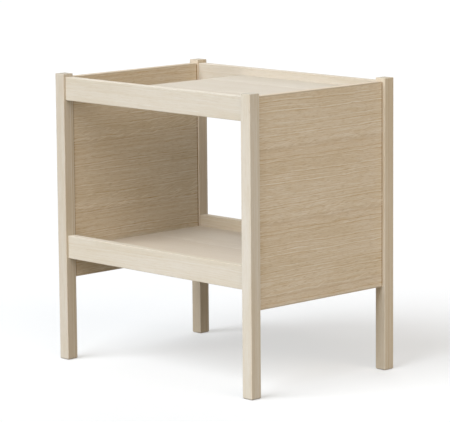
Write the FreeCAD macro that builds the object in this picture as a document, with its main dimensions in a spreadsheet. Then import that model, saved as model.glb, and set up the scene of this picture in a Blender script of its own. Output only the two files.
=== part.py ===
"""Oak side table with an open magazine slot: slim legs, set-back rails, and veneered boards let in between them.

The rails are tenoned into the legs, the top and shelf are tongued into the rails and side panels, and the
side panels are dowelled to the legs.

Millimetres, +Z up. The origin is on the floor under the middle of the table. The front is -Y, and the
magazine slot is at the -X end, beside the table top.
"""
import FreeCAD, Part
import os
import re

import Sketcher
from FreeCAD import Rotation, Vector

# Driving dimensions in millimetres: name, value, what it measures
DIMENSIONS = [
    ("table_width", 420, "over the legs, left to right"),
    ("table_depth", 298, "over the legs, front to back"),
    ("table_height", 440, "floor to the tops of the legs"),
    ("leg_size", 19, "side of a leg's square section"),
    ("leg_proud", 5, "tops of the legs above the upper rails and side panels"),
    ("leg_edge_radius", 1, "easing of a leg's long edges"),
    ("leg_top_chamfer", 0.6, "easing round the top of a leg"),
    ("foot_chamfer", 1.5, "chamfer round the foot of a leg"),
    ("rail_setback", 4, "outer face of a leg to the outer face of a rail"),
    ("rail_thickness", 13, "front to back through a rail"),
    ("rail_height", 35, "bottom to top of a rail"),
    ("lower_rail_top", 193, "floor to the tops of the lower rails"),
    ("panel_setback", 5, "outer face of a leg to the outer face of a side panel"),
    ("panel_drop", 30.5, "bottoms of the lower rails to the bottoms of the side panels"),
    ("board_thickness", 12, "through a side panel, the table top or the shelf, veneers included"),
    ("veneer_thickness", 0.6, "oak veneer on both faces of each board"),
    ("lipping_width", 2, "solid oak on the boards' open edges"),
    ("edge_radius", 0.8, "easing of the long edges of rails and lippings"),
    ("top_recess", 11.5, "tops of the upper rails down to the table top"),
    ("shelf_recess", 18, "tops of the lower rails down to the shelf"),
    ("slot_width", 99, "left side panel to the edge of the table top"),
    ("leg_clearance", 0.3, "notched board corners to the legs"),
    ("tenon_length", 12, "how far a rail goes into a leg"),
    ("tenon_thickness", 5, "front to back through a tenon"),
    ("tenon_height", 25, "bottom to top of a tenon"),
    ("tenon_clearance", 0.1, "glue line round a tenon"),
    ("mortise_room", 1, "room for glue past the end of a tenon"),
    ("tongue_depth", 5, "how far the top and shelf go into the rails and side panels"),
    ("tongue_thickness", 4, "bottom to top of a tongue"),
    ("tongue_inset", 12, "end of a board's edge to the end of its tongue"),
    ("tongue_clearance", 0.1, "glue line round a tongue"),
    ("groove_room", 0.5, "room for glue past the edge of a tongue"),
    ("dowel_diameter", 6, "between the side panels and the legs"),
    ("dowel_length", 30, "end to end"),
    ("dowel_chamfer", 0.8, "at both ends of a dowel"),
    ("dowel_reach", 12, "how far a dowel goes into a leg"),
    ("dowel_inset", 14, "bottom of an upper rail to the highest dowel"),
    ("bore_clearance", 0.1, "glue line round a dowel"),
    ("bore_room", 1, "room for glue past each end of a dowel"),
    ("glide_diameter", 12, "nylon disc under each leg"),
    ("glide_thickness", 2.5, "through a glide"),
    ("glide_edge", 0.4, "chamfer round the sole of a glide"),
    ("glide_proud", 0.5, "sole of a glide below the foot of its leg"),
    ("glide_clearance", 0.1, "round a glide in its leg"),
]
DOWELS_PER_EDGE = 3

SIDES = {"left": -1, "right": 1}
ROWS = {"front": -1, "rear": 1}
LEVELS = ("lower", "upper")

# Faces and levels that pieces share, written in the sheet's names
LEG_X = "(table_width / 2 - leg_size)"
LEG_Y = "(table_depth / 2 - leg_size)"
RAIL_Y = "(table_depth / 2 - rail_setback - rail_thickness)"
PANEL_X = "(table_width / 2 - panel_setback - board_thickness)"
SLOT_EDGE = f"(slot_width - {PANEL_X})"
UPPER_RAIL_TOP = "(table_height - leg_proud)"
RAIL_TOP = {"lower": "lower_rail_top", "upper": UPPER_RAIL_TOP}
RAIL_BASE = {level: f"({top} - rail_height)" for level, top in RAIL_TOP.items()}
PANEL_BASE = f"({RAIL_BASE['lower']} - panel_drop)"
BOARD_FACE = {"lower": "(lower_rail_top - shelf_recess)", "upper": f"({UPPER_RAIL_TOP} - top_recess)"}
BOARD_LEFT = {"lower": f"-{PANEL_X}", "upper": SLOT_EDGE}

PLANES = {"x": "YZ_Plane", "y": "XZ_Plane", "z": "XY_Plane"}
AXES = {"x": Vector(1, 0, 0), "y": Vector(0, 1, 0), "z": Vector(0, 0, 1)}
FROM_Z_TO_Y = Rotation(AXES["x"], -90)
TOUCH = 1e-6

doc = FreeCAD.newDocument("SideTable")
sheet = doc.addObject("Spreadsheet::Sheet", "Sizes")
for row, (alias, value, meaning) in enumerate(DIMENSIONS, start=1):
    sheet.set(f"A{row}", meaning)
    sheet.set(f"B{row}", str(value))
    sheet.setAlias(f"B{row}", alias)
doc.recompute()


def bind(thing, prop, expression):
    """Ties a property to an expression in the sheet's names."""
    in_sheet = re.sub(r"[a-z]+(_[a-z]+)+", lambda name: f"Sizes.{name.group()}", expression)
    thing.setExpression(prop, in_sheet)


def place(thing, x, y, z):
    for axis, expression in zip("xyz", (x, y, z)):
        bind(thing, f"Placement.Base.{axis}", expression)


def both_ways(reach):
    """The low and high ends of a stretch about the middle."""
    return f"-({reach})", reach


def about(middle, size):
    """The low and high ends of a stretch about a place."""
    return f"{middle} - {size} / 2", f"{middle} + {size} / 2"


def span(side, near, far):
    """The low and high ends of a stretch from near to far, on one side of the middle."""
    return (near, far) if side > 0 else (f"-({far})", f"-({near})")


def stations(first, last, count):
    """Evenly spaced places from the first to the last."""
    return [f"({first}) + (({last}) - ({first})) * {step} / {count - 1}" for step in range(count)]


# Plain solids and how they combine


def box(name, *spans):
    """A box between low and high ends along X, Y and Z."""
    block = doc.addObject("Part::Box", name)
    for size, axis, (low, high) in zip(("Length", "Width", "Height"), "xyz", spans):
        bind(block, size, f"({high}) - ({low})")
        bind(block, f"Placement.Base.{axis}", low)
    return block


def room_for(name, spans, growth):
    """The room that a tenon or tongue needs, grown at both ends along X, Y and Z."""
    return box(name, *((f"{low} - {more}", f"{high} + {more}") for (low, high), more in zip(spans, growth)))


def cylinder(name, base, height, radius):
    """A cylinder standing on its base."""
    solid = doc.addObject("Part::Cylinder", name)
    bind(solid, "Radius", radius)
    bind(solid, "Height", height)
    place(solid, *base)
    return solid


def chamfered(name, solid, edges, size):
    """A cylinder with its end edges chamfered: edge 1 is its far end, edge 3 its base."""
    piece = doc.addObject("Part::Chamfer", name)
    piece.Base = solid
    piece.Edges = [(edge, size, size) for edge in edges]
    return piece


def fuse(name, solids):
    piece = doc.addObject("Part::MultiFuse", name)
    piece.Shapes = solids
    return piece


def cut(name, blank, cutters):
    """A piece cut from its blank by all its mortises, grooves, bores and notches."""
    tool = doc.addObject("Part::Compound", f"{name}_cutters")
    tool.Links = cutters
    piece = doc.addObject("Part::Cut", name)
    piece.Base = blank
    piece.Tool = tool
    return piece


# Sawn bars: a rectangle padded both ways from its middle, with eased edges


def rectangle(body, plane_role, width, height):
    """A rectangle centred on its body's origin."""
    sketch = body.newObject("Sketcher::SketchObject", f"{body.Name}_section")
    plane = next(feature for feature in body.Origin.OriginFeatures if feature.Role == plane_role)
    sketch.AttachmentSupport = [(plane, "")]
    sketch.MapMode = "FlatFace"
    corners = [Vector(-1, -1), Vector(1, -1), Vector(1, 1), Vector(-1, 1)]
    for line, corner in enumerate(corners):
        sketch.addGeometry(Part.LineSegment(corner, corners[(line + 1) % 4]), False)
    for line in range(4):
        sketch.addConstraint(Sketcher.Constraint("Coincident", line, 2, (line + 1) % 4, 1))
        sketch.addConstraint(Sketcher.Constraint("Vertical" if line % 2 else "Horizontal", line))
    sketch.addConstraint(Sketcher.Constraint("Symmetric", 0, 1, 1, 2, -1, 1))
    for line, kind, name, size in ((0, "DistanceX", "width", width), (1, "DistanceY", "height", height)):
        constraint = sketch.addConstraint(Sketcher.Constraint(kind, line, 1, line, 2, 2.0))
        sketch.renameConstraint(constraint, name)
        bind(sketch, f"Constraints.{name}", size)
    return sketch


def bar(name, axis, width, height, length, centre):
    """A bar along one axis; width and height follow the other two, in the order X, Y, Z."""
    body = doc.addObject("PartDesign::Body", name)
    pad = body.newObject("PartDesign::Pad", f"{name}_pad")
    pad.Profile = rectangle(body, PLANES[axis], width, height)
    pad.SideType = "Symmetric"
    bind(pad, "Length", length)
    body.Tip = pad
    place(body, *centre)
    doc.recompute()
    return body


def dress(body, kind, size_name, size, test):
    """Rounds or chamfers those edges of a body that pass a test."""
    base = body.Tip
    names = [f"Edge{n}" for n, edge in enumerate(base.Shape.Edges, start=1) if test(edge)]
    feature = body.newObject(f"PartDesign::{kind}", f"{body.Name}_{kind.lower()}")
    feature.Base = (base, names)
    bind(feature, size_name, size)
    body.Tip = feature
    doc.recompute()


def ease(body, axis, radius, outward=None):
    """Rounds a bar's long edges, all four or the two on its outward side."""
    def eased(edge):
        along = abs(edge.tangentAt(edge.FirstParameter).dot(AXES[axis])) > 1 - TOUCH
        return along and (outward is None or edge.CenterOfMass.dot(outward) > 0)
    dress(body, "Fillet", "Radius", radius, eased)


def chamfer_end(body, size, low):
    """Chamfers round the low or high end of an upright bar."""
    bounds = body.Tip.Shape.BoundBox
    def at_end(edge):
        reach = edge.BoundBox
        return reach.ZMax < bounds.ZMin + TOUCH if low else reach.ZMin > bounds.ZMax - TOUCH
    dress(body, "Chamfer", "Size", size, at_end)


# Joints: what goes in and the room for it come from the same spans


def rail_middle(level, row):
    return f"{ROWS[row]} * ({RAIL_Y} + rail_thickness / 2)", f"({RAIL_BASE[level]} + rail_height / 2)"


def tenon_spans(level, row):
    """A rail's two stub tenons, as one slab through the rail from end to end."""
    middle_y, middle_z = rail_middle(level, row)
    return (both_ways(f"{LEG_X} + tenon_length"), about(middle_y, "tenon_thickness"),
            about(middle_z, "tenon_height"))


def mortise(level, row):
    """The mortises for a rail's tenons, in the two legs that it joins."""
    growth = ("mortise_room", "tenon_clearance", "tenon_clearance")
    return room_for(f"mortise_{row}_{level}", tenon_spans(level, row), growth)


def tongue_spans(level):
    """A board's tongues as two slabs through it: one runs into both rails, one into the side panels."""
    height = about(f"({BOARD_FACE[level]} - board_thickness / 2)", "tongue_thickness")
    left_tongue = f"-({PANEL_X} + tongue_depth)" if level == "lower" else f"{SLOT_EDGE} + lipping_width"
    into_rails = ((f"{BOARD_LEFT[level]} + tongue_inset", f"{PANEL_X} - tongue_inset"),
                  both_ways(f"{RAIL_Y} + tongue_depth"), height)
    into_panels = ((left_tongue, f"{PANEL_X} + tongue_depth"), both_ways(f"{RAIL_Y} - tongue_inset"), height)
    return {"rails": into_rails, "panels": into_panels}


def grooves(level):
    """The grooves for a board's tongues, in the rails and in the side panels."""
    spans = tongue_spans(level)
    return {
        "rails": room_for(f"rail_groove_{level}", spans["rails"],
                          ("tongue_clearance", "groove_room", "tongue_clearance")),
        "panels": room_for(f"panel_groove_{level}", spans["panels"],
                           ("groove_room", "tongue_clearance", "tongue_clearance")),
    }


def dowel(name, side, row, level):
    """A dowel from a side panel's edge into a leg, and the bore for it in both."""
    across = f"{SIDES[side]} * ({PANEL_X} + board_thickness / 2)"
    low = f"{LEG_Y} + dowel_reach - dowel_length" if ROWS[row] > 0 else f"-({LEG_Y} + dowel_reach)"
    blank = cylinder(f"{name}_blank", (across, low, level), "dowel_length", "dowel_diameter / 2")
    bore = cylinder(f"{name}_bore", (across, f"{low} - bore_room", level), "dowel_length + 2 * bore_room",
                    "dowel_diameter / 2 + bore_clearance")
    for lying in (blank, bore):
        lying.Placement.Rotation = FROM_Z_TO_Y
    return chamfered(f"{name}_pin", blank, (1, 3), sheet.dowel_chamfer), bore


def panel_joint(side, row):
    """The dowels of a side panel's edge, from below the lower rail's mortise to below the upper rail's."""
    lowest = f"({PANEL_BASE} + {RAIL_BASE['lower']}) / 2"
    highest = f"{RAIL_BASE['upper']} - dowel_inset"
    return [dowel(f"dowel_{side}_{row}_{number}", side, row, level)
            for number, level in enumerate(stations(lowest, highest, DOWELS_PER_EDGE))]


def leg_room(side, row):
    """The room that a leg takes out of a board's corner."""
    return box(f"leg_room_{row}_{side}",
               span(SIDES[side], f"{LEG_X} - leg_clearance", "table_width / 2"),
               span(ROWS[row], f"{LEG_Y} - leg_clearance", "table_depth / 2"),
               ("0", "table_height"))


CORNERS = [(side, row) for row in ROWS for side in SIDES]
mortises = {(level, row): mortise(level, row) for level in LEVELS for row in ROWS}
board_grooves = {level: grooves(level) for level in LEVELS}
panel_joints = {corner: panel_joint(*corner) for corner in CORNERS}
leg_rooms = {corner: leg_room(*corner) for corner in CORNERS}

# Legs and glides


def leg_centre(side, row):
    return f"{SIDES[side]} * ({LEG_X} + leg_size / 2)", f"{ROWS[row]} * ({LEG_Y} + leg_size / 2)"


def glide(side, row):
    """A nylon disc let into the foot of a leg."""
    name = f"glide_{row}_{side}"
    disc = cylinder(f"{name}_disc", (*leg_centre(side, row), "0"), "glide_thickness", "glide_diameter / 2")
    return chamfered(name, disc, (3,), sheet.glide_edge)


def leg(side, row):
    """A square post, eased all round, mortised for its rails and bored for its side panel and glide."""
    name = f"leg_{row}_{side}"
    length = "table_height - glide_proud"
    blank = bar(f"{name}_blank", "z", "leg_size", "leg_size", length,
                (*leg_centre(side, row), f"glide_proud + ({length}) / 2"))
    chamfer_end(blank, "foot_chamfer", low=True)
    chamfer_end(blank, "leg_top_chamfer", low=False)
    ease(blank, "z", "leg_edge_radius")
    glide_seat = cylinder(f"{name}_glide_seat", (*leg_centre(side, row), "0"), "glide_thickness",
                          "glide_diameter / 2 + glide_clearance")
    bores = [bore for _, bore in panel_joints[side, row]]
    return cut(name, blank, [mortises[level, row] for level in LEVELS] + bores + [glide_seat])


# Rails


def rail(level, row):
    """A rail with a stub tenon at each end, eased along its edges and grooved inside for its board."""
    name = f"rail_{row}_{level}"
    stick = bar(f"{name}_stick", "x", "rail_thickness", "rail_height", f"2 * {LEG_X}",
                ("0", *rail_middle(level, row)))
    ease(stick, "x", "edge_radius")
    tenons = box(f"{name}_tenons", *tenon_spans(level, row))
    return cut(name, fuse(f"{name}_blank", [stick, tenons]), [board_grooves[level]["rails"]])


# Boards: a core between two veneers, lipped where an edge shows


def side_panel(side):
    """A board between two legs, with its grain level and its top and bottom edges lipped."""
    name = f"side_panel_{side}"
    sign = SIDES[side]
    outer = f"{PANEL_X} + board_thickness"
    depth = both_ways(LEG_Y)
    height = (f"{PANEL_BASE} + lipping_width", f"{UPPER_RAIL_TOP} - lipping_width")
    inner_face = span(sign, PANEL_X, f"{PANEL_X} + veneer_thickness")
    middle = span(sign, f"{PANEL_X} + veneer_thickness", f"{outer} - veneer_thickness")
    outer_face = span(sign, f"{outer} - veneer_thickness", outer)
    levels = LEVELS if side == "right" else ("lower",)
    board_seats = [board_grooves[level]["panels"] for level in levels]
    bores = [bore for row in ROWS for _, bore in panel_joints[side, row]]
    core = cut(f"{name}_core", box(f"{name}_core_blank", middle, depth, height), board_seats + bores)
    inner = cut(f"{name}_inner_veneer", box(f"{name}_inner_sheet", inner_face, depth, height), board_seats)
    pieces = [core, inner, box(f"{name}_outer_veneer", outer_face, depth, height)]
    for edge, level, direction in (("top", f"{UPPER_RAIL_TOP} - lipping_width / 2", 1),
                                   ("bottom", f"{PANEL_BASE} + lipping_width / 2", -1)):
        centre = (f"{sign} * ({PANEL_X} + board_thickness / 2)", "0", level)
        lipping = bar(f"{name}_{edge}_lipping", "y", "board_thickness", "lipping_width", f"2 * {LEG_Y}", centre)
        ease(lipping, "y", "edge_radius", direction * AXES["z"])
        pieces.append(lipping)
    dowels = doc.addObject("Part::Compound", f"{name}_dowels")
    dowels.Links = [pin for row in ROWS for pin, _ in panel_joints[side, row]]
    return pieces + [dowels]


def flat_board(name, level, left_end, notches):
    """The tongued core and the veneers of a board between the rails, notched round the legs."""
    width = (left_end, PANEL_X)
    depth = both_ways(RAIL_Y)
    face = BOARD_FACE[level]
    underside = f"({face} - board_thickness)"
    heights = {
        "upper_veneer": (f"{face} - veneer_thickness", face),
        "core": (f"{underside} + veneer_thickness", f"{face} - veneer_thickness"),
        "lower_veneer": (underside, f"{underside} + veneer_thickness"),
    }
    blanks = {layer: box(f"{name}_{layer}_sheet", width, depth, height) for layer, height in heights.items()}
    tongues = [box(f"{name}_tongues_into_{where}", *spans) for where, spans in tongue_spans(level).items()]
    blanks["core"] = fuse(f"{name}_core_blank", [blanks["core"]] + tongues)
    return [cut(f"{name}_{layer}", blank, notches) for layer, blank in blanks.items()]


def table_top():
    """The board between the upper rails, lipped along the magazine slot."""
    notches = [leg_rooms["right", row] for row in ROWS]
    layers = flat_board("table_top", "upper", f"{SLOT_EDGE} + lipping_width", notches)
    centre = (f"{SLOT_EDGE} + lipping_width / 2", "0", f"{BOARD_FACE['upper']} - board_thickness / 2")
    lipping = bar("table_top_slot_lipping", "y", "lipping_width", "board_thickness", f"2 * {RAIL_Y}", centre)
    ease(lipping, "y", "edge_radius", -AXES["x"])
    return layers + [lipping]


def shelf():
    """The board between the lower rails, from side panel to side panel."""
    return flat_board("shelf", "lower", BOARD_LEFT["lower"], list(leg_rooms.values()))


def all_pieces():
    pieces = [leg(*corner) for corner in CORNERS]
    pieces += [glide(*corner) for corner in CORNERS]
    pieces += [rail(level, row) for level in LEVELS for row in ROWS]
    pieces += side_panel("left") + side_panel("right")
    return pieces + table_top() + shelf()


def check(pieces):
    """Stops if anything failed to rebuild, or a piece is not whole."""
    failed = [thing.Name for thing in doc.Objects if {"Invalid", "Error"} & set(thing.State)]
    if failed:
        raise RuntimeError(f"failed to rebuild: {failed}")
    for piece in pieces:
        shape = piece.Shape
        if shape.isNull() or not shape.isValid() or not shape.Solids:
            raise RuntimeError(f"not a whole solid: {piece.Label}")


def write(pieces):
    os.makedirs("parts", exist_ok=True)
    for piece in pieces:
        piece.Shape.exportStep(f"parts/{piece.Label}.step")
        print(f"{piece.Label}: {len(piece.Shape.Solids)} solid(s), {piece.Shape.Volume / 1000:.2f} cm3")


table = all_pieces()
doc.recompute()
check(table)
write(table)
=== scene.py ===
"""The oak side table as it looks when made: white-oiled oak in soft studio light, from the photograph's angle.

Metres, +Z up, front -Y, in the frame of the CAD model. Every piece is a CAD node with a finish of its own.
"""

import math

import bpy
from mathutils import Matrix, Vector

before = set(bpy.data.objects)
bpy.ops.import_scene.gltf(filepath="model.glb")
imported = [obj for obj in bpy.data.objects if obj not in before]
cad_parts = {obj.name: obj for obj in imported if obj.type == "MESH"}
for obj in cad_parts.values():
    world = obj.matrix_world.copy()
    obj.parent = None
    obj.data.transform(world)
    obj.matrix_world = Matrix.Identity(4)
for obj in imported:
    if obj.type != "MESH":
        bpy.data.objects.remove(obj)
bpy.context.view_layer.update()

MM = 0.001
AXES = {"x": Vector((1, 0, 0)), "y": Vector((0, 1, 0)), "z": Vector((0, 0, 1))}
ALL_WAYS = Vector((1, 1, 1))


def linear(hex_colour):
    """An sRGB hex colour as the linear RGBA that sockets take."""
    shares = [int(hex_colour[start:start + 2], 16) / 255 for start in (1, 3, 5)]
    return (*(s / 12.92 if s <= 0.04045 else ((s + 0.055) / 1.055) ** 2.4 for s in shares), 1.0)


def node(tree, kind, sockets=None, output=0, **settings):
    """Adds a node with its settings, values and links, and returns one of its outputs."""
    added = tree.nodes.new(kind)
    for name, value in settings.items():
        setattr(added, name, value)
    for key, value in (sockets or {}).items():
        if isinstance(value, bpy.types.NodeSocket):
            tree.links.new(value, added.inputs[key])
        else:
            added.inputs[key].default_value = value
    return added.outputs[output] if added.outputs else None


def new_tree(owner):
    """An empty node tree for a material or the world."""
    owner.use_nodes = True
    owner.node_tree.nodes.clear()
    return owner.node_tree


def cells(axis, length, width):
    """Noise cells per metre for marks of this length along an axis and width across it, in millimetres."""
    along = AXES[axis]
    return along / (length * MM) + (ALL_WAYS - along) / (width * MM)


# White-oiled oak. Planed or sliced, sanded, then oiled with a little white pigment: pale and matt, with fine
# yellow-brown growth lines, short pores, soft darker patches, and end grain that has drunk more of the oil.
# The stains darken a board's own pale colour, and the flecks are laid over it. The dark line where veneer meets
# a leg is partly glue line and partly painted shade of the inner corner

GRAIN_STAIN = linear("#DECAA8")
PATCH_STAIN = linear("#F0EADC")
PORE_STAIN = linear("#C9B898")
END_STAIN = linear("#DDDDDB")
SEAM_STAIN = linear("#BFAEA6")
# Glue line between veneer and leg, darkened further as painted shade of the inner corner
JOINT_GLUE_AND_SHADE = linear("#BBA78E")
LEAF_STAIN = linear("#FBF8F5")
RAY_FLECK = linear("#EAE3D6")
OAK_IOR = 1.5
OAK_ROUGHNESS = 0.7
LINE_ROUGHNESS = 0.1

# Sizes in millimetres, where drift and ripple have a length, a width and a shift, and the other marks a length
# and a width. The rest are shares of the whole figure.
# Solid pieces are planed from boards sawn across the rings: their lines are faint, and those of the slim legs,
# picked for it, the straightest. Veneer is sliced from the log, and its lines are wavy and broken up by needles.
# The table top and shelf have the quietest leaves, and the left panel's seams are matched so well that they
# hardly show
PLANED = {"drift": (300, 60, 5.0), "ripple": (70, 9, 0.8), "ring": 2.2, "lines": 0.2, "needle": (30, 1.2),
          "needles": 0.18, "patch": (170, 20), "patches": 0.4, "pores": 0.12}
STRAIGHT = {**PLANED, "drift": (400, 60, 1.2), "ripple": (90, 12, 0.4), "ring": 2.6, "lines": 0.6}
SLICED = {"drift": (240, 70, 4.0), "ripple": (34, 8, 1.5), "ring": 1.8, "lines": 0.74, "needle": (40, 0.8),
          "needles": 0.56, "patch": (160, 30), "patches": 0.4, "pores": 0.32, "seams": 0.16, "shading": 0.6}
QUIET = {**SLICED, "ripple": (70, 9, 0.8), "lines": 0.3, "needles": 0.15, "patches": 0.15, "pores": 0.1,
         "seams": 0.1, "shading": 0.4}
MATCHED = {**SLICED, "seams": 0.1, "shading": 0.4}

# Places where lines fade: length and width, and the share that is left of them there. Below that, how much of
# the figure shows between the needles
FADE = (35, 7)
FADED = 0.6
BETWEEN_NEEDLES = 0.3

# Pores are 0.2 to 0.3 mm wide, which is a fifth of a pixel here, so they are drawn 0.8 mm wide
PORE = (10, 0.8)

# A needle stands up by the relief, in millimetres, and a pore is four times as deep
RELIEF = 0.02
RELIEF_STRENGTH = 0.6
PORE_DEPTH = 4.0

# How near to square to the grain a face is, as a cosine, where end grain starts to show and where it is full
END_GRAIN = (0.6, 0.9)

# Veneer: the width of a leaf, how much deeper in the log the next one lies, the reach of a seam to each side,
# and how far up a leaf it starts to darken
LEAF = 106.3
LEAF_STEP = 9
SEAM = 5.0
SHADED_FROM = 0.55

# Flecks of ray: length and width, slope to the lines, and the range of their noise that shows. They are thick up
# to the first of two shares of a leaf's width and thin from the second on
FLECK = (30, 2.0)
FLECK_SLOPE = math.radians(-15)
FLECK_SHOWS = (0.53, 0.7)
FLECK_EDGE = (0.05, 0.35)
FLECKS_THICK = 0.45
FLECKS_THIN = 0.05

# The glue line between veneer and leg is thinner than a pixel, so it is drawn about 2 mm wide, and darker than
# glue alone as painted shade of the inner corner there: it fades in over this stretch before the leg
LEG_TO_LEG = 260
GLUE_AND_SHADE_FADE = (2.4, 1.4)


def in_leaf(tree, place, side, through, seam):
    """A place as it lies in its leaf of veneer, and how far up the leaf that is.

    Leaves from one log lie side by side, so the same figure comes again in each, a little changed.
    """
    strip = node(tree, "ShaderNodeVectorMath",
                 {0: place, 1: side / (LEAF * MM), 2: side * -(seam / LEAF)}, operation="MULTIPLY_ADD")
    number = node(tree, "ShaderNodeVectorMath", {0: strip}, operation="FLOOR")
    share = node(tree, "ShaderNodeVectorMath", {0: strip}, operation="FRACTION")
    up_leaf = node(tree, "ShaderNodeVectorMath", {0: share, 1: side}, output="Value", operation="DOT_PRODUCT")
    leaf_number = node(tree, "ShaderNodeVectorMath", {0: number, 1: side}, output="Value",
                       operation="DOT_PRODUCT")
    back = node(tree, "ShaderNodeVectorMath", {0: number, 1: side * -(LEAF * MM), 2: place},
                operation="MULTIPLY_ADD")
    deeper = node(tree, "ShaderNodeVectorMath", {0: through * LEAF_STEP * MM, "Scale": leaf_number},
                  operation="SCALE")
    return node(tree, "ShaderNodeVectorMath", {0: back, 1: deeper}, operation="ADD"), up_leaf


def bend(tree, place, grain, cut):
    """A place moved as the lines of a log are that isn't straight.

    They drift by a few millimetres and ripple by about one.
    """
    across = ALL_WAYS - AXES[grain]
    bent = place
    # A cloud goes half a unit to each side of its middle, so the shift is doubled
    for length, width, shift in (cut["drift"], cut["ripple"]):
        scaled = node(tree, "ShaderNodeVectorMath", {0: place, 1: cells(grain, length, width)},
                      operation="MULTIPLY")
        cloud = node(tree, "ShaderNodeTexNoise", {"Vector": scaled, "Scale": 1.0, "Detail": 1.0}, output="Color")
        centred = node(tree, "ShaderNodeVectorMath", {0: cloud, 1: (0.5, 0.5, 0.5)}, operation="SUBTRACT")
        bent = node(tree, "ShaderNodeVectorMath", {0: centred, 1: across * shift * 2 * MM, 2: bent},
                    operation="MULTIPLY_ADD")
    return bent


def growth_rings(tree, bent, grain, heart, ring):
    """Light and dark by the distance from the log's heart, in rings of about this width."""
    from_heart = node(tree, "ShaderNodeVectorMath", {0: bent, 1: Vector(heart) * MM}, operation="SUBTRACT")
    flat = node(tree, "ShaderNodeVectorMath", {0: from_heart, 1: ALL_WAYS - AXES[grain]}, operation="MULTIPLY")
    radius = node(tree, "ShaderNodeVectorMath", {0: flat}, output="Value", operation="LENGTH")
    return node(tree, "ShaderNodeTexNoise",
                {"W": radius, "Scale": 1 / (ring * MM), "Detail": 1.5, "Roughness": 0.6}, noise_dimensions="1D")


def grain_marks(tree, bent, grain, heart, cut):
    """How much of each mark of the grain there is: growth lines, where they fade, needles, patches and pores."""
    # Size, detail of the noise, the range of it that shows, and the mark's least and most
    marks = {"line": (growth_rings(tree, bent, grain, heart, cut["ring"]), 0.25, 0.75, -0.5, 0.5)}
    for mark, size, detail, low, high, least, most in (
            ("fade", FADE, 1.0, 0.35, 0.65, FADED * cut["lines"], cut["lines"]),
            ("needle", cut["needle"], 2.0, 0.25, 0.75, BETWEEN_NEEDLES, BETWEEN_NEEDLES + cut["needles"]),
            ("patch", cut["patch"], 2.0, 0.4, 0.7, 0.0, cut["patches"]),
            ("pore", PORE, 1.0, 0.56, 0.68, 0.0, cut["pores"])):
        scaled = node(tree, "ShaderNodeVectorMath", {0: bent, 1: cells(grain, *size)}, operation="MULTIPLY")
        cloud = node(tree, "ShaderNodeTexNoise", {"Vector": scaled, "Scale": 1.0, "Detail": detail})
        marks[mark] = (cloud, low, high, least, most)
    return {mark: node(tree, "ShaderNodeMapRange",
                       {"Value": value, "From Min": low, "From Max": high, "To Min": least, "To Max": most},
                       interpolation_type="SMOOTHSTEP" if mark in ("patch", "pore") else "LINEAR")
            for mark, (value, low, high, least, most) in marks.items()}


def seam_stains(tree, bent, up_leaf, figure, side, seam, cut):
    """What shows of a seam, which is hidden as well as it can be.

    Soft brown lines close together come and go along it, and the leaf below darkens a little towards it.
    """
    from_seam = node(tree, "ShaderNodeVectorMath", {0: bent, 1: side / (LEAF * MM)}, output="Value",
                     operation="DOT_PRODUCT")
    from_seam = node(tree, "ShaderNodeMath", {0: from_seam, 1: -seam / LEAF}, operation="ADD")
    from_seam = node(tree, "ShaderNodeMath", {0: from_seam, 1: 0.5}, operation="PINGPONG")
    band = node(tree, "ShaderNodeMapRange",
                {"Value": from_seam, "From Max": SEAM / LEAF, "To Min": cut["seams"], "To Max": 0.0})
    lines = node(tree, "ShaderNodeMath", {0: figure, 1: band}, operation="MULTIPLY")
    shading = node(tree, "ShaderNodeMapRange",
                   {"Value": up_leaf, "From Min": SHADED_FROM, "From Max": 1.0, "To Max": cut["shading"]})
    return [(lines, SEAM_STAIN), (shading, LEAF_STAIN)]


def glue_line_and_corner_shade(tree, in_part, along, joint):
    """1 where the veneer meets a leg, at this distance from the middle, and 0 before it: glue line and painted
    corner shade.
    """
    reach = node(tree, "ShaderNodeVectorMath", {0: in_part, 1: along}, output="Value", operation="DOT_PRODUCT")
    reach = node(tree, "ShaderNodeMath", {0: reach}, operation="ABSOLUTE")
    return node(tree, "ShaderNodeMapRange",
                {"Value": reach, "From Min": (joint - GLUE_AND_SHADE_FADE[0]) * MM,
                 "From Max": (joint - GLUE_AND_SHADE_FADE[1]) * MM})


def end_grain(tree, along):
    """1 on a face that is square to the grain, 0 on one along it."""
    facing = node(tree, "ShaderNodeTexCoord", output="Normal")
    lined_up = node(tree, "ShaderNodeVectorMath", {0: facing, 1: along}, output="Value", operation="DOT_PRODUCT")
    square = node(tree, "ShaderNodeMath", {0: lined_up}, operation="ABSOLUTE")
    return node(tree, "ShaderNodeMapRange",
                {"Value": square, "From Min": END_GRAIN[0], "From Max": END_GRAIN[1]})


def ray_flecks(tree, bent, up_leaf, grain, through):
    """Flecks of ray cross the lines at a slope, mostly near the lower edge of each leaf."""
    sloped = node(tree, "ShaderNodeVectorRotate", {"Vector": bent, "Axis": through, "Angle": FLECK_SLOPE})
    scaled = node(tree, "ShaderNodeVectorMath", {0: sloped, 1: cells(grain, *FLECK)}, operation="MULTIPLY")
    rays = node(tree, "ShaderNodeTexNoise", {"Vector": scaled, "Scale": 1.0, "Detail": 1.0})
    near_edge = node(tree, "ShaderNodeMapRange",
                     {"Value": up_leaf, "From Min": FLECK_EDGE[0], "From Max": FLECK_EDGE[1],
                      "To Min": FLECKS_THICK, "To Max": FLECKS_THIN})
    return node(tree, "ShaderNodeMapRange",
                {"Value": rays, "From Min": FLECK_SHOWS[0], "From Max": FLECK_SHOWS[1], "To Max": near_edge},
                interpolation_type="SMOOTHSTEP")


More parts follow.
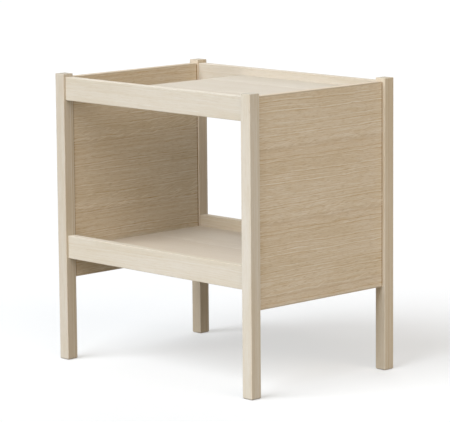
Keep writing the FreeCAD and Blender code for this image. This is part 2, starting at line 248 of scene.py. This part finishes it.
def oak(name, pale, grain, heart, start, cut, leaf=None, joint=None):
    """Oak of a pale colour with its grain along one axis.

    Its log's heart runs through a point, and the board starts so far along the log, in millimetres.

    Veneer also has the axis that its leaves lie side by side on, the axis through them, and a seam's place. A
    joint is the distance from the middle at which the veneer meets the legs.
    """
    material = bpy.data.materials.new(name)
    tree = new_tree(material)
    along = AXES[grain]
    in_part = node(tree, "ShaderNodeTexCoord", output="Object")
    place = node(tree, "ShaderNodeVectorMath", {0: in_part, 1: along * start * MM}, operation="ADD")
    if leaf:
        side, through, seam = AXES[leaf[0]], AXES[leaf[1]], leaf[2]
        place, up_leaf = in_leaf(tree, place, side, through, seam)

    bent = bend(tree, place, grain, cut)
    marks = grain_marks(tree, bent, grain, heart, cut)
    figure = node(tree, "ShaderNodeMath", {0: marks["line"], 1: marks["fade"], 2: marks["needle"]},
                  operation="MULTIPLY_ADD")
    stains = [(figure, GRAIN_STAIN), (marks["patch"], PATCH_STAIN), (marks["pore"], PORE_STAIN)]
    if leaf:
        stains += seam_stains(tree, bent, up_leaf, figure, side, seam, cut)
    if joint:
        stains.append((glue_line_and_corner_shade(tree, in_part, along, joint), JOINT_GLUE_AND_SHADE))
    stains.append((end_grain(tree, along), END_STAIN))

    wood = linear(pale)
    for amount, stain in stains:
        wood = node(tree, "ShaderNodeMix", {0: amount, 6: wood, 7: stain}, output=2, data_type="RGBA",
                    blend_type="MULTIPLY")
    if leaf:
        flecks = ray_flecks(tree, bent, up_leaf, grain, through)
        wood = node(tree, "ShaderNodeMix", {0: flecks, 6: wood, 7: RAY_FLECK}, output=2, data_type="RGBA")

    rough = node(tree, "ShaderNodeMath", {0: figure, 1: LINE_ROUGHNESS, 2: OAK_ROUGHNESS},
                 operation="MULTIPLY_ADD")
    height = node(tree, "ShaderNodeMath", {0: marks["pore"], 1: -PORE_DEPTH, 2: marks["needle"]},
                  operation="MULTIPLY_ADD")
    bump = node(tree, "ShaderNodeBump", {"Height": height, "Distance": RELIEF * MM, "Strength": RELIEF_STRENGTH})
    shader = node(tree, "ShaderNodeBsdfPrincipled",
                  {"Base Color": wood, "Roughness": rough, "IOR": OAK_IOR, "Normal": bump})
    node(tree, "ShaderNodeOutputMaterial", {"Surface": shader})
    return material


# Plain materials: the range of their noise that shows as specks, and how far these stand up, in millimetres
SPECKLED_IOR = 1.5
SPECKS_SHOW = (0.4, 0.7)
SPECK_RELIEF = 0.05
SPECK_STRENGTH = 0.4


def speckled(name, ground, speck, roughness, length, width, axis):
    """A plain material with fine specks, longer along one axis; sizes in millimetres."""
    material = bpy.data.materials.new(name)
    tree = new_tree(material)
    place = node(tree, "ShaderNodeTexCoord", output="Object")
    scaled = node(tree, "ShaderNodeVectorMath", {0: place, 1: cells(axis, length, width)}, operation="MULTIPLY")
    noise = node(tree, "ShaderNodeTexNoise", {"Vector": scaled, "Scale": 1.0, "Detail": 3.0})
    share = node(tree, "ShaderNodeMapRange",
                 {"Value": noise, "From Min": SPECKS_SHOW[0], "From Max": SPECKS_SHOW[1]})
    colour = node(tree, "ShaderNodeMix", {0: share, 6: linear(ground), 7: linear(speck)}, output=2,
                  data_type="RGBA")
    bump = node(tree, "ShaderNodeBump",
                {"Height": noise, "Distance": SPECK_RELIEF * MM, "Strength": SPECK_STRENGTH})
    shader = node(tree, "ShaderNodeBsdfPrincipled",
                  {"Base Color": colour, "Roughness": roughness, "IOR": SPECKLED_IOR, "Normal": bump})
    node(tree, "ShaderNodeOutputMaterial", {"Surface": shader})
    return material


# Each leg and rail is planed from a board of its own, and the lippings from one: its pale colour, grain, heart
# of its log, start along the log and cut. The front-left and rear-left legs' pale colours are darker partly as
# painted shade, for the dimmer light these legs stand in
BOARDS = {
    "leg_front_left": ("#D4D1CA", "z", (-205, 121.8, 0), 5600, STRAIGHT),
    "leg_front_right": ("#E2E3E1", "z", (190, 161.8, 0), 700, STRAIGHT),
    "leg_rear_left": ("#DBD4C8", "z", (-190, -170, 0), 2100, STRAIGHT),
    "leg_rear_right": ("#DFDBD1", "z", (195, -237.3, 0), 4200, STRAIGHT),
    "rail_front_upper": ("#DEDEDA", "x", (0, 40, 250), 700, PLANED),
    "rail_front_lower": ("#DFDFDB", "x", (0, -30, 20), 5600, PLANED),
    "rail_rear_upper": ("#D5D3CD", "x", (0, 30, 230), 3500, PLANED),
    "rail_rear_lower": ("#DDD7CB", "x", (0, 260, 60), 4900, PLANED),
    "lipping": ("#D2CBBF", "y", (-80, 0, 300), 1400, PLANED),
}

# Veneer, with its leaves and joint: the table top and shelf's run along the rails, the panels' from leg to leg.
# The table top's and shelf's pale colours are darker partly as painted shade, of things that stood on them
VENEERS = {
    "table_top": ("#CDCBC5", "x", (0, -520, 250), 2800, QUIET, ("y", "z", 53)),
    "shelf": ("#D5D0C8", "x", (0, 480, -60), 6300, QUIET, ("y", "z", 20)),
    "panel_left": ("#E0DCD3", "y", (-90, 0, 830), 7000, MATCHED, ("z", "x", 120), LEG_TO_LEG / 2),
    "panel_right": ("#ECEAE4", "y", (60, 0, -460), 4900, SLICED, ("z", "x", 145), LEG_TO_LEG / 2),
}

finishes = {name: oak("oak_planed_white_oiled_" + name, *board) for name, board in BOARDS.items()}
finishes |= {name: oak("oak_sliced_white_oiled_" + name, *veneer) for name, veneer in VENEERS.items()}

# Fibreboard, pressed from short fibres: an even dull brown with darker flecks and a slightly furry cut edge
finishes["core"] = speckled("fibreboard_pressed", "#A98F6C", "#7E664A", 0.85, 1.2, 0.8, "x")
# Beech, turned into rod: a warm pinkish tan with short dark flecks along its length
finishes["dowels"] = speckled("beech_turned", "#D9B68E", "#B08A5E", 0.6, 3.0, 0.8, "y")
# Nylon, moulded: off-white and even, with the soft sheen of a smooth mould
finishes["glide"] = speckled("nylon_moulded", "#D9D7D0", "#CBC8BF", 0.4, 1.0, 1.0, "z")


def finish_of(name):
    """The finish for a piece's last word, such as core, or else for the board that its name starts with."""
    last_word = name.split("_")[-1]
    if last_word in finishes:
        return finishes[last_word]
    return next(finish for board, finish in finishes.items() if name.removeprefix("side_").startswith(board))


for name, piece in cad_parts.items():
    piece.data.materials.clear()
    piece.data.materials.append(finish_of(name))


# Studio

# The floor's colour as the camera sees it, the share of plain white in that, its colour as it lights the table
# from below, and its reach in metres
FLOOR_COLOUR = linear("#F8FCFF")
FLOOR_LIFT = 0.44
FLOOR_BOUNCE = linear("#9A9284")
FLOOR_REACH = 30.0
WHITE = linear("#FFFFFF")

# How much light the room itself gives, from all sides
ROOM_LEVEL = 0.136

# Soft lamps: azimuth that the light comes from, height and spread in degrees, level and colour
LAMPS = {
    "key": (-6, 42, 50, 1.0, "#FAFCFF"),
    "right_fill": (68, 30, 60, 0.45, "#FFEEDA"),
    "back_fill": (-150, 22, 60, 0.34, "#FFFDFA"),
}

# The photograph's view, found from the edges of the legs, rails and panels in it
CAMERA_PLACE = (2.93534, -2.81823, 0.87597)
CAMERA_AZIMUTH, CAMERA_ELEVATION, CAMERA_ROLL = (math.radians(angle) for angle in (46.137, 8.956, -0.502))
CAMERA_SENSOR = 36
CAMERA_LENS = 218.82
CAMERA_CLIP = 100


def seen_directly(tree):
    """1 where the camera, a reflection or a refraction looks, 0 for light that bounces."""
    path = node(tree, "ShaderNodeLightPath", output="Is Camera Ray").node
    mirrored = node(tree, "ShaderNodeMath", {0: path.outputs["Is Camera Ray"], 1: path.outputs["Is Glossy Ray"]},
                    operation="MAXIMUM")
    return node(tree, "ShaderNodeMath", {0: mirrored, 1: path.outputs["Is Transmission Ray"]},
                operation="MAXIMUM")


def make_floor():
    """A wide pale floor that shows little but the table's shadow."""
    mesh = bpy.data.meshes.new("floor")
    corners = [(x * FLOOR_REACH, y * FLOOR_REACH, 0) for x, y in ((-1, -1), (1, -1), (1, 1), (-1, 1))]
    mesh.from_pydata(corners, [], [(0, 1, 2, 3)])
    floor = bpy.data.objects.new("floor", mesh)
    bpy.context.scene.collection.objects.link(floor)
    # Matt paint, rolled: even and without gloss, so that only the table's soft shadow shows on it
    material = bpy.data.materials.new("floor_painted_matt")
    tree = new_tree(material)
    direct = seen_directly(tree)
    colour = node(tree, "ShaderNodeMix", {0: direct, 6: FLOOR_BOUNCE, 7: FLOOR_COLOUR}, output=2,
                  data_type="RGBA")
    paint = node(tree, "ShaderNodeBsdfDiffuse", {"Color": colour})
    white = node(tree, "ShaderNodeEmission", {"Color": WHITE, "Strength": 1.0})
    share = node(tree, "ShaderNodeMath", {0: direct, 1: FLOOR_LIFT}, operation="MULTIPLY")
    mixed = node(tree, "ShaderNodeMixShader", {0: share, 1: paint, 2: white})
    node(tree, "ShaderNodeOutputMaterial", {"Surface": mixed})
    mesh.materials.append(material)


def make_light():
    """Wide soft lamps far off, and an even dim room; white wherever the camera sees past the floor."""
    for name, (azimuth, height, spread, level, colour) in LAMPS.items():
        lamp = bpy.data.lights.new(name, "SUN")
        lamp.energy = level * math.pi
        lamp.angle = math.radians(spread)
        lamp.color = linear(colour)[:3]
        holder = bpy.data.objects.new(name, lamp)
        holder.matrix_world = (Matrix.Rotation(math.radians(azimuth), 4, "Z")
                               @ Matrix.Rotation(math.radians(90 - height), 4, "X"))
        bpy.context.scene.collection.objects.link(holder)
    world = bpy.data.worlds.new("studio")
    tree = new_tree(world)
    room = node(tree, "ShaderNodeBackground", {"Color": WHITE, "Strength": ROOM_LEVEL})
    white = node(tree, "ShaderNodeBackground", {"Color": WHITE, "Strength": 1.0})
    mixed = node(tree, "ShaderNodeMixShader", {0: seen_directly(tree), 1: room, 2: white})
    node(tree, "ShaderNodeOutputWorld", {"Surface": mixed})
    bpy.context.scene.world = world


def make_camera():
    """The camera at the photograph's view."""
    data = bpy.data.cameras.new("camera")
    data.sensor_width = CAMERA_SENSOR
    data.lens = CAMERA_LENS
    data.clip_end = CAMERA_CLIP
    camera = bpy.data.objects.new("camera", data)
    turn = (Matrix.Rotation(CAMERA_AZIMUTH, 4, "Z") @ Matrix.Rotation(math.pi / 2 - CAMERA_ELEVATION, 4, "X")
            @ Matrix.Rotation(CAMERA_ROLL, 4, "Z"))
    camera.matrix_world = Matrix.Translation(CAMERA_PLACE) @ turn
    bpy.context.scene.collection.objects.link(camera)
    bpy.context.scene.camera = camera


make_floor()
make_light()
make_camera()
bpy.context.scene.view_settings.view_transform = "Standard"
